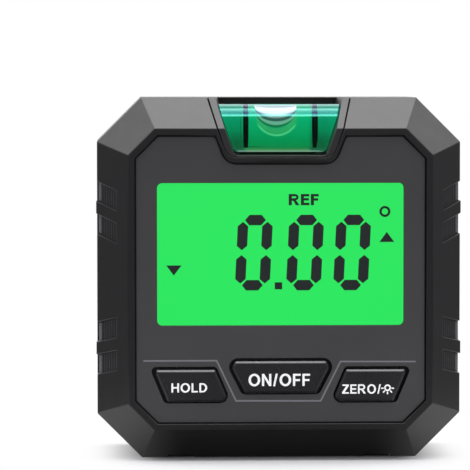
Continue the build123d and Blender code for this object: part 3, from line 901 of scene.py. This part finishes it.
class LEVEL_OT_screws(bpy.types.Operator):
    """Set cross-head screws in the back's four holes"""
    bl_idname = "level.screws"
    bl_label = "Case screws"

    def execute(self, context):
        pattern = bpy.data.objects.new("screw_pattern", self.screw())
        context.scene.collection.objects.link(pattern)
        points = bpy.data.meshes.new("screw_points")
        places = [(x * MM, SCREW_SEAT * MM, z * MM) for x in (-SCREW_X, SCREW_X) for z in SCREW_Z]
        points.from_pydata(places, [], [])
        material = material_of("case_screws")
        made = scattered_screws().grow(points, Screw=pattern, Material=material,
                                       Seed=context.scene.level_sizes.screw_seed)
        bpy.data.objects.remove(pattern)
        piece = piece_from("cross_screws", joined([made]), [material], "housing")
        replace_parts(piece, "case_screws")
        return {"FINISHED"}

    def screw(self, sides=32):
        """One screw along Y, its seat at the origin: domed head, cross and shank."""
        bm = bmesh.new()
        radius, height = SCREW_HEAD
        rows = [(SCREW_SHANK[0] * 0.3, -SCREW_SHANK[1]), (SCREW_SHANK[0], -SCREW_SHANK[1] + 0.9),
                (SCREW_SHANK[0], 0.0), (radius * 0.98, 0.0), (radius, 0.15),
                (radius, height * 0.55), (radius * 0.93, height * 0.8), (radius * 0.8, height)]
        rings = [[bm.verts.new((r * cos(2 * pi * i / sides) * MM, y * MM,
                                r * sin(2 * pi * i / sides) * MM)) for i in range(sides)]
                 for r, y in rows]
        for a, b in zip(rings, rings[1:]):
            for i in range(sides):
                j = (i + 1) % sides
                face = bm.faces.new((a[i], a[j], b[j], b[i]))
                face.smooth = True
        bm.faces.new(rings[0])
        self.cross(bm, rings[-1], height)
        bmesh.ops.recalc_face_normals(bm, faces=bm.faces)
        mesh = bpy.data.meshes.new("screw")
        bm.to_mesh(mesh)
        bm.free()
        return mesh

    def cross(self, bm, ring, height):
        """Top of the head, with a cross-shaped socket sunk into it."""
        narrow, reach, depth = SCREW_CROSS
        n, r = narrow / 2, reach
        outline = [(n, r), (n, n), (r, n), (r, -n), (n, -n), (n, -r),
                   (-n, -r), (-n, -n), (-r, -n), (-r, n), (-n, n), (-n, r)]
        top = [bm.verts.new((x * MM, height * MM, z * MM)) for x, z in outline]
        low = [bm.verts.new((x * 0.8 * MM, (height - depth) * MM, z * 0.8 * MM))
               for x, z in outline]
        count = len(outline)
        edges = []
        for i in range(count):
            j = (i + 1) % count
            bm.faces.new((top[i], top[j], low[j], low[i]))
            edges.append(bm.edges.get((top[i], top[j])))
        bm.faces.new(low)
        edges += [bm.edges.get((a, b)) for a, b in zip(ring, ring[1:] + ring[:1])]
        bmesh.ops.triangle_fill(bm, use_beauty=True, edges=edges)


# Vial

BLOCK_FRONT = -12.0
BLOCK_HEAD = 58.87
BLOCK_BEVEL_FOOT = 56.85
BLOCK_DROP = 0.12
BLOCK_LEANS = (0.03, 0.08)


class LEVEL_OT_vial(bpy.types.Operator):
    """Make the clear block with its green depth, painted as a glow on its back and sides, and the
    liquid with its bubble
    """
    bl_idname = "level.vial"
    bl_label = "Vial"

    def execute(self, context):
        self.block()
        self.rings()
        self.liquid(context.scene.level_sizes.bubble_length)
        return {"FINISHED"}

    def block(self):
        """Outer form of the block: clear in front and above, green behind and beside, where the
        liquid's glow is painted.
        """
        bm = bmesh.new()
        back = corner("vial_block", 1, 1)
        for vertex in nodes["vial_block"].data.vertices:
            x, y, z = vertex.co
            side = 1 if x > 0 else -1
            ahead = (back - y) * (back - BLOCK_FRONT * MM) / (back - BLOCK_Y)
            x += side * (WALL_TURN * (y - FACE_Y) + 0.07 * (ahead - (back - y)))
            x -= side * BLOCK_LEANS[side > 0] * max(0.0, z - 55.0 * MM)
            drop = BLOCK_DROP * MM if z < 53 * MM else 0.0
            bm.verts.new((x, back - ahead, z - drop))
        bmesh.ops.convex_hull(bm, input=bm.verts)
        loose = [v for v in bm.verts if not v.link_faces]
        bmesh.ops.delete(bm, geom=loose, context="VERTS")
        bmesh.ops.dissolve_limit(bm, angle_limit=radians(1), verts=bm.verts, edges=bm.edges)
        self.cut(bm, (0, 0, BLOCK_HEAD * MM), (0, 0, 1))
        self.cut(bm, (0, BLOCK_FRONT * MM, BLOCK_BEVEL_FOOT * MM), (0, -1, 1))
        bmesh.ops.recalc_face_normals(bm, faces=bm.faces)
        for face in bm.faces:
            normal = face.normal
            if normal.y < -0.3 and normal.z > 0.3:
                face.material_index = 1
            elif normal.y < -0.9 or normal.z > 0.9:
                face.material_index = 0
            else:
                face.material_index = 2
        finishes = [material_of("vial_block"), vial_bevel(), vial_green()]
        piece = piece_from("vial_body", bm, finishes, "housing")
        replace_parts(piece, "vial_block", "vial_plug")

    def rings(self):
        """The two reading rings, set where the bubble's ends lie."""
        bm = merged_form("vial_rings")
        for vertex in bm.verts:
            side = 1 if vertex.co.x > 0 else -1
            vertex.co.x += RING_SHIFT * MM - side * RING_NEARER * MM
        finishes = [material_of("vial_rings")]
        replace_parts(piece_from("reading_rings", bm, finishes, "housing"),
                    "vial_rings")

    def cut(self, bm, point, normal):
        """Plane off what stands beyond a plane, and close the cut."""
        geometry = bm.verts[:] + bm.edges[:] + bm.faces[:]
        made = bmesh.ops.bisect_plane(bm, geom=geometry, plane_co=point, plane_no=normal,
                                      clear_outer=True)
        edges = [g for g in made["geom_cut"] if isinstance(g, bmesh.types.BMEdge)]
        bmesh.ops.edgeloop_fill(bm, edges=edges)

    def liquid(self, length):
        """Barrel of liquid, with the bubble as a hollow at its top."""
        bm = bmesh.new()
        self.barrel(bm)
        self.bubble(bm, length)
        finishes = [material_of("vial_liquid"), bubble_skin()]
        piece = piece_from("vial_fill", bm, finishes, "housing", turn_out=False)
        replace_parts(piece, "vial_liquid")

    def barrel(self, bm, sides=64):
        """Cylinder along X, its faces outwards."""
        radius = BORE_RADIUS - 0.01 * MM
        rings = []
        for x in (-BORE_HALF_LENGTH, BORE_HALF_LENGTH):
            rings.append([bm.verts.new((x, BORE_Y + radius * cos(2 * pi * i / sides),
                                        BORE_Z + radius * sin(2 * pi * i / sides)))
                          for i in range(sides)])
        for i in range(sides):
            j = (i + 1) % sides
            face = bm.faces.new((rings[0][i], rings[1][i], rings[1][j], rings[0][j]))
            face.smooth = True
        bm.faces.new(rings[0])
        bm.faces.new(list(reversed(rings[1])))
        bmesh.ops.recalc_face_normals(bm, faces=bm.faces)

    def bubble(self, bm, length, sections=48):
        """Bubble along X: a leaning head, a round belly, and points at both ends."""
        rings = []
        for i in range(1, sections):
            t = -cos(pi * i / sections)
            x = BUBBLE_MIDDLE * MM + t * length / 2
            rings.append([bm.verts.new((x, BORE_Y + y * MM, BORE_Z + z * MM))
                          for y, z in bubble_section(sqrt(1 - t * t))])
        tips = [bm.verts.new((BUBBLE_MIDDLE * MM + end * length / 2, BORE_Y,
                              BORE_Z + BUBBLE_RADIUS * MM)) for end in (-1, 1)]
        made = []
        count = len(rings[0])
        for a, b in zip(rings, rings[1:]):
            for i in range(count):
                j = (i + 1) % count
                made.append(bm.faces.new((a[i], b[i], b[j], a[j])))
        for ring, tip in ((rings[0], tips[0]), (rings[-1], tips[1])):
            for i in range(count):
                j = (i + 1) % count
                made.append(bm.faces.new((tip, ring[i], ring[j])))
        bmesh.ops.recalc_face_normals(bm, faces=made)
        bmesh.ops.reverse_faces(bm, faces=made)
        for face in made:
            face.material_index = 1
            face.smooth = True


RING_SHIFT = 0.28
RING_NEARER = 0.04
BUBBLE_MIDDLE = -0.52
BUBBLE_RADIUS = 3.3
BUBBLE_DEPTH = 3.4


def bubble_section(size, steps=16):
    """Bubble's section in millimetres from the bore's middle: the bore's wall, then a belly."""
    level = BUBBLE_RADIUS - BUBBLE_DEPTH * size
    start = asin(max(-1.0, level / BUBBLE_RADIUS))
    points = []
    for i in range(steps + 1):
        angle = start + (pi - 2 * start) * i / steps
        points.append((BUBBLE_RADIUS * cos(angle), BUBBLE_RADIUS * sin(angle)))
    half = BUBBLE_RADIUS * cos(start)
    for i in range(1, steps):
        angle = pi * (1 + i / steps)
        points.append((half * cos(angle), level + 0.12 * size * sin(angle)))
    return points


# Prints on the display

FIGURE_LEAN = tan(radians(2.8))
FIGURE_FOOT = 28.94
FIGURE_LEFTS = (-6.61, 1.86, 9.68)
FIGURE_GAP = 0.3
FIGURE_DOT = ((-0.87, 28.26), (0.36, 29.42))


def bar_outline(start, end, stroke, tip=0.72):
    """A long bar with pointed ends, from one point to another."""
    x0, z0 = start
    x1, z1 = end
    length = sqrt((x1 - x0) ** 2 + (z1 - z0) ** 2)
    ax, az = (x1 - x0) / length, (z1 - z0) / length
    nx, nz = -az * stroke / 2, ax * stroke / 2
    return [(x0, z0), (x0 + ax * tip - nx, z0 + az * tip - nz),
            (x1 - ax * tip - nx, z1 - az * tip - nz), (x1, z1),
            (x1 - ax * tip + nx, z1 - az * tip + nz), (x0 + ax * tip + nx, z0 + az * tip + nz)]


def nought(left, width, height, stroke):
    """The six lit bars of a nought, leaning a little, as points in millimetres."""
    half = height / 2
    gap = FIGURE_GAP
    bars = [((gap, height), (width - gap, height)), ((gap, 0), (width - gap, 0))]
    for x in (0, width):
        bars.append(((x, gap), (x, half - gap * 1.35)))
        bars.append(((x, half + gap * 1.35), (x, height - gap)))
    outlines = []
    for start, end in bars:
        outline = bar_outline(start, end, stroke)
        outlines.append([(left + x + z * FIGURE_LEAN, FIGURE_FOOT + z) for x, z in outline])
    return outlines


class LEVEL_OT_figures(bpy.types.Operator):
    """Put the reading and its signs on the display"""
    bl_idname = "level.figures"
    bl_label = "Display figures"

    def execute(self, context):
        sizes = context.scene.level_sizes
        # the figures glow faintly: partly backlight through the dark bars, partly painted light
        # for the lamp light that the glass keeps off them
        ink = flat_ink_or_painted_light("display_figures", opaque(context.scene.level_colours.figures), 0.9,
                          0.0)
        outlines = []
        for left in FIGURE_LEFTS:
            outlines += nought(left, sizes.figure_width / MM, sizes.figure_height / MM,
                               sizes.stroke / MM)
        (left, foot), (right, head) = FIGURE_DOT
        outlines.append([(left, foot), (right, foot), (right, head), (left, head)])
        outlines.append([(16.49, 36.07), (18.96, 36.07), (17.71, 37.74)])
        outlines.append([(-18.82, 32.25), (-17.58, 30.57), (-16.3, 32.25)])
        outlines.append(oval(17.39, 41.13, 0.92, 0.92))
        outlines.append(oval(17.39, 41.13, 0.52, 0.52))
        outlines += word("REF", 1.44, 6.42, 42.18, 44.04, 0.11, 0.26, 0.22)
        flat_print("display_figures", outlines, DISPLAY_Y, sizes.ink, ink, "housing")
        return {"FINISHED"}


# Lettering: each letter's outlines on a cap height of 1

STEM = 0.19
BAR = 0.165


def oval(x, z, across, up, start=0, end=360, steps=36):
    """Points round an oval, or part of one, in degrees from its right."""
    whole = end - start >= 360
    count = steps if whole else steps + 1
    return [(x + across * cos(radians(start + (end - start) * i / steps)),
             z + up * sin(radians(start + (end - start) * i / steps))) for i in range(count)]


def letter_outlines(s, b):
    """Plain capitals for a stem and bar thickness: width, then outer and inner outlines."""
    return {
        "H": (0.8, [[(0, 0), (s, 0), (s, 0.42), (0.8 - s, 0.42), (0.8 - s, 0), (0.8, 0),
                     (0.8, 1), (0.8 - s, 1), (0.8 - s, 0.6), (s, 0.6), (s, 1), (0, 1)]]),
        "L": (0.66, [[(0, 0), (0.66, 0), (0.66, b), (s, b), (s, 1), (0, 1)]]),
        "E": (0.72, [[(0, 0), (0.72, 0), (0.72, b), (s, b), (s, 0.42), (0.66, 0.42),
                      (0.66, 0.42 + b), (s, 0.42 + b), (s, 1 - b), (0.7, 1 - b), (0.7, 1),
                      (0, 1)]]),
        "F": (0.66, [[(0, 0), (s, 0), (s, 0.4), (0.6, 0.4), (0.6, 0.4 + b), (s, 0.4 + b),
                      (s, 1 - b), (0.66, 1 - b), (0.66, 1), (0, 1)]]),
        "Z": (0.78, [[(0, 0), (0.78, 0), (0.78, b), (0.29, b), (0.76, 0.84), (0.76, 1), (0.04, 1),
                      (0.04, 1 - b), (0.47, 1 - b), (0, 0.16)]]),
        "N": (0.8, [[(0, 0), (s, 0), (s, 0.66), (0.8 - s, 0), (0.8, 0), (0.8, 1), (0.8 - s, 1),
                     (0.8 - s, 0.34), (s, 1), (0, 1)]]),
        "O": (1.0, [oval(0.5, 0.5, 0.5, 0.52), oval(0.5, 0.5, 0.29, 0.345)]),
        "D": (0.82, [[(0, 0)] + oval(0.34, 0.5, 0.48, 0.5, -90, 90) + [(0, 1)],
                     [(s, b)] + oval(0.34, 0.5, 0.27, 0.5 - b, -90, 90) + [(s, 1 - b)]]),
        "R": (0.9, [[(0, 0), (s, 0), (s, 0.4), (0.32, 0.4), (0.43, 0.33), (0.85 - s, 0),
                     (0.9, 0), (0.72, 0.29), (0.6, 0.42)]
                    + oval(0.52, 0.71, 0.3, 0.29, -68, 90) + [(0, 1)],
                    [(s, 0.395 + b)] + oval(0.5, 0.7 - (0.175 - b) / 4, 0.13, 0.305 - b, -90, 90)
                    + [(s, 1 - b)]]),
        "/": (0.4, [[(0, -0.02), (0.17, -0.02), (0.4, 1.02), (0.23, 1.02)]]),
    }


def word(text, left, right, foot, head, gap=0.15, stem=STEM, bar=BAR):
    """Outlines of a word set between left and right, foot and head, in millimetres."""
    letters = letter_outlines(stem, bar)
    natural = sum(letters[letter][0] for letter in text) + gap * (len(text) - 1)
    across = (right - left) / natural
    up = head - foot
    outlines = []
    start = left
    for letter in text:
        width, shapes = letters[letter]
        for shape in shapes:
            outlines.append([(start + x * across, foot + z * up) for x, z in shape])
        start += (width + gap) * across
    return outlines


def flat_print(name, outlines, y, thickness, material, body):
    """Outlines with their holes as one thin print on a plane that faces the viewer."""
    curve = bpy.data.curves.new(name, "CURVE")
    curve.dimensions = "2D"
    curve.fill_mode = "BOTH"
    curve.extrude = thickness / 2
    for outline in outlines:
        spline = curve.splines.new("POLY")
        spline.points.add(len(outline) - 1)
        for point, (x, z) in zip(spline.points, outline):
            point.co = (x * MM, z * MM, 0, 1)
        spline.use_cyclic_u = True
    source = bpy.data.objects.new(name, curve)
    bpy.context.scene.collection.objects.link(source)
    mesh = evaluated_mesh(source)
    bpy.data.objects.remove(source)
    bm = bmesh.new()
    bm.from_mesh(mesh)
    bpy.data.meshes.remove(mesh)
    bmesh.ops.remove_doubles(bm, verts=bm.verts, dist=0.0005 * MM)
    for v in bm.verts:
        v.co = (v.co.x, y - thickness / 2 - v.co.z, v.co.y)
    return piece_from(name, bm, [material], body)


def ray_outline(x, z, angle, near, far, width):
    """One ray of the lamp sign, from near to far along an angle in degrees."""
    ax, az = cos(radians(angle)), sin(radians(angle))
    nx, nz = -az * width / 2, ax * width / 2
    return [(x + ax * near + nx, z + az * near + nz), (x + ax * near - nx, z + az * near - nz),
            (x + ax * far - nx, z + az * far - nz), (x + ax * far + nx, z + az * far + nz)]


class LEVEL_OT_legends(bpy.types.Operator):
    """Print the key legends and the lamp sign"""
    bl_idname = "level.legends"
    bl_label = "Key legends"

    def execute(self, context):
        # the white legend print glows a little: painted light over the real print
        ink = flat_ink_or_painted_light("legend_ink", opaque(context.scene.level_colours.legend), 0.3)
        thickness = context.scene.level_sizes.ink
        hold = word("HOLD", -18.05, -12.15, 11.43, 12.95)
        flat_print("legend_hold", hold, CAP_Y, thickness, ink, "hold_key")
        on_off = word("ON/OFF", -5.33, 4.85, 12.44, 14.45)
        flat_print("legend_on_off", on_off, CAP_Y, thickness, ink, "on_off_key")
        zero = word("ZERO/", 10.14, 16.55, 11.12, 12.66)
        zero += self.lamp(17.66, 12.08)
        flat_print("legend_zero", zero, CAP_Y, thickness, ink, "zero_key")
        return {"FINISHED"}

    def lamp(self, x, z):
        """Lamp sign: a ring with rays beside and below it."""
        outlines = [oval(x, z, 0.56, 0.56), oval(x, z, 0.3, 0.3)]
        for angle in (-5, 185, 227, 270, 313):
            outlines.append(ray_outline(x, z, angle, 0.64, 1.08, 0.22))
        return outlines


LINE_POINTS = ((-22.65, 16.63), (-10.57, 16.63), (-7.38, 9.98), (6.62, 9.92), (9.9, 16.43),
               (22.35, 16.38))
LINE_HALF = 0.13


class LEVEL_OT_line(bpy.types.Operator):
    """Print the thin line that runs round the middle key"""
    bl_idname = "level.line"
    bl_label = "Line round the keys"

    def execute(self, context):
        ink = flat_ink_or_painted_light("line_ink", opaque(context.scene.level_colours.line))
        upper = []
        lower = []
        last = len(LINE_POINTS) - 1
        for point in range(len(LINE_POINTS)):
            here = Vector(LINE_POINTS[point])
            before = Vector(LINE_POINTS[max(point - 1, 0)])
            after = Vector(LINE_POINTS[min(point + 1, last)])
            come = (here - before).normalized() if point else (after - here).normalized()
            go = (after - here).normalized() if point < last else come
            normal = Vector((-(come.y + go.y), come.x + go.x)).normalized()
            reach = LINE_HALF / max(normal.dot(Vector((-come.y, come.x))), 0.3)
            upper.append(tuple(here + normal * reach))
            lower.append(tuple(here - normal * reach))
        flat_print("key_line", [upper + lower[::-1]], PANEL_Y, context.scene.level_sizes.ink, ink,
                   "housing")
        return {"FINISHED"}


# Studio

def pale_surface():
    """Pale floor that keeps the shadow, and is plain white farther out."""
    shader = Finish("studio_floor")
    drift = shader.noise(3.0)
    shader.set(Base_Color=shader.between(drift, linear(244, 244, 245), linear(247, 247, 248)),
               Roughness=0.9, Specular_IOR_Level=0.0)
    beside = (abs(shader.axis(0)) - 19.0).either(0.0) * 4.0
    before = (abs(shader.axis(1)) - 13.0).either(0.0) * 1.3
    far = shader.ease((beside * beside + before * before).root(), 0.0, 60.0)
    seen = shader.node("ShaderNodeLightPath")
    glossy = Value(shader.tree, seen.socket.node.outputs["Is Glossy Ray"])
    through = Value(shader.tree, seen.socket.node.outputs["Is Transmission Ray"])
    aside = abs(shader.axis(0))
    near = shader.ease(aside, 15.0, 34.0) * (1 - shader.ease(aside, 60.0, 95.0))
    lit = shader.ease(shader.axis(1), 30.0, 90.0).either(near)
    white = shader.node("ShaderNodeEmission", Color=(1.0, 1.0, 1.0, 1.0),
                        Strength=seen.either(lit * 0.68 + 0.04))
    shader.mixed((far * seen).either(glossy).either(through),
                 Value(shader.tree, shader.bsdf.outputs[0]), white)
    return shader.owner


def area_light(name, place, aim, size, radiance):
    """Soft box of a set size and brightness, turned towards a point."""
    data = bpy.data.lights.new(name, "AREA")
    data.shape = "RECTANGLE"
    data.size = size[0]
    data.size_y = size[1]
    data.energy = radiance * pi * size[0] * size[1]
    light = bpy.data.objects.new(name, data)
    light.location = place
    light.rotation_euler = (Vector(aim) - Vector(place)).to_track_quat("-Z", "Y").to_euler()
    bpy.context.scene.collection.objects.link(light)


class LEVEL_OT_stage(bpy.types.Operator):
    """Build the floor, the lights and the camera"""
    bl_idname = "level.stage"
    bl_label = "Stage"

    def execute(self, context):
        scene = context.scene
        scene.view_settings.view_transform = "Standard"
        bm = bmesh.new()
        bmesh.ops.create_circle(bm, cap_ends=True, segments=96, radius=0.16,
                                matrix=Matrix.Translation((0, 0.1, 0)))
        mesh = bpy.data.meshes.new("studio_floor")
        bm.to_mesh(mesh)
        bm.free()
        mesh.materials.append(pale_surface())
        floor = bpy.data.objects.new("studio_floor", mesh)
        scene.collection.objects.link(floor)
        self.world(scene)
        self.lights()
        self.camera(scene)
        return {"FINISHED"}

    def world(self, scene):
        """White where the camera looks and behind the level, a grey studio elsewhere."""
        world = bpy.data.worlds.new("studio")
        shader = Shader(world)
        path = shader.node("ShaderNodeLightPath")
        glossy = Value(shader.tree, path.socket.node.outputs["Is Glossy Ray"])
        through = Value(shader.tree, path.socket.node.outputs["Is Transmission Ray"])
        back = shader.node("ShaderNodeSeparateXYZ", out=1,
                           Vector=shader.node("ShaderNodeTexCoord", out=0))
        behind = shader.ease(back, 0.68, 0.95)
        up = shader.node("ShaderNodeSeparateXYZ", out=2,
                         Vector=shader.node("ShaderNodeTexCoord", out=0))
        others = glossy.either(through)
        white = shader.node("ShaderNodeBackground", Color=(1.0, 1.0, 1.0, 1.0), Strength=1.0)
        grey = shader.node("ShaderNodeBackground", Color=(0.97, 0.97, 1.0, 1.0),
                           Strength=0.5 - others * (0.37 - shader.ease(up, -0.15, 0.3) * 0.27))
        shader.mixed(path.either(others * behind), grey, white)
        scene.world = world

    def lights(self):
        middle = (0, 0, HEIGHT / 2)
        area_light("top_light", (0, 0.06, 0.72), middle, (0.85, 0.75), 2.85)
        area_light("left_light", (-0.5, -0.5, 0.55), middle, (0.3, 0.3), 0.9)
        area_light("right_light", (0.5, -0.5, 0.55), middle, (0.3, 0.3), 0.8)
        area_light("back_light", (0.1, 0.7, 0.45), middle, (0.4, 0.3), 0.9)
        area_light("left_corner_light", (-0.69, 0.24, 0.71), middle, (0.45, 0.45), 1.5)
        area_light("right_corner_light", (0.72, 0.3, 0.65), middle, (0.45, 0.45), 1.35)

    def camera(self, scene):
        data = bpy.data.cameras.new("camera")
        camera = bpy.data.objects.new("camera", data)
        scene.collection.objects.link(camera)
        scene.camera = camera
        distance = 0.6
        azimuth = radians(-2.6)
        elevation = radians(3.2)
        target = Vector((0, FACE_Y, HEIGHT / 2))
        offset = Vector((sin(azimuth) * cos(elevation), -cos(azimuth) * cos(elevation),
                         sin(elevation))) * distance
        camera.location = target + offset
        camera.rotation_euler = (-offset).to_track_quat("-Z", "Y").to_euler()
        frame_width = 470 / 6.069 * MM
        data.sensor_width = 36.0
        data.lens = data.sensor_width * distance / frame_width
        data.shift_x = -(280.8 - 235) / 470
        data.shift_y = (279.8 - 235) / 470
        data.clip_start = 0.01
        data.clip_end = 10.0


STEPS = (LEVEL_OT_finishes, LEVEL_OT_shells, LEVEL_OT_grips, LEVEL_OT_screws, LEVEL_OT_vial,
         LEVEL_OT_figures, LEVEL_OT_legends, LEVEL_OT_line, LEVEL_OT_stage)


class LEVEL_PT_sidebar(bpy.types.Panel):
    """Sizes, colours and steps of the level"""
    bl_idname = "LEVEL_PT_sidebar"
    bl_label = "Spirit level"
    bl_space_type = "VIEW_3D"
    bl_region_type = "UI"
    bl_category = "Level"

    def draw(self, context):
        for group in (context.scene.level_sizes, context.scene.level_colours):
            for key in type(group).__annotations__:
                self.layout.prop(group, key)
        for step in STEPS:
            self.layout.operator(step.bl_idname)


CLASSES = (LevelSizes, LevelColours) + STEPS + (LEVEL_PT_sidebar,)


def register():
    for item in CLASSES:
        bpy.utils.register_class(item)
    bpy.types.Scene.level_sizes = PointerProperty(type=LevelSizes)
    bpy.types.Scene.level_colours = PointerProperty(type=LevelColours)


def unregister():
    del bpy.types.Scene.level_colours
    del bpy.types.Scene.level_sizes
    for item in reversed(CLASSES):
        bpy.utils.unregister_class(item)


def main():
    register()
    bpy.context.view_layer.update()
    bpy.ops.level.finishes()
    bpy.ops.level.shells()
    bpy.ops.level.grips()
    bpy.ops.level.screws()
    bpy.ops.level.vial()
    bpy.ops.level.figures()
    bpy.ops.level.legends()
    bpy.ops.level.line()
    bpy.ops.level.stage()


if __name__ == "__main__":
    main()
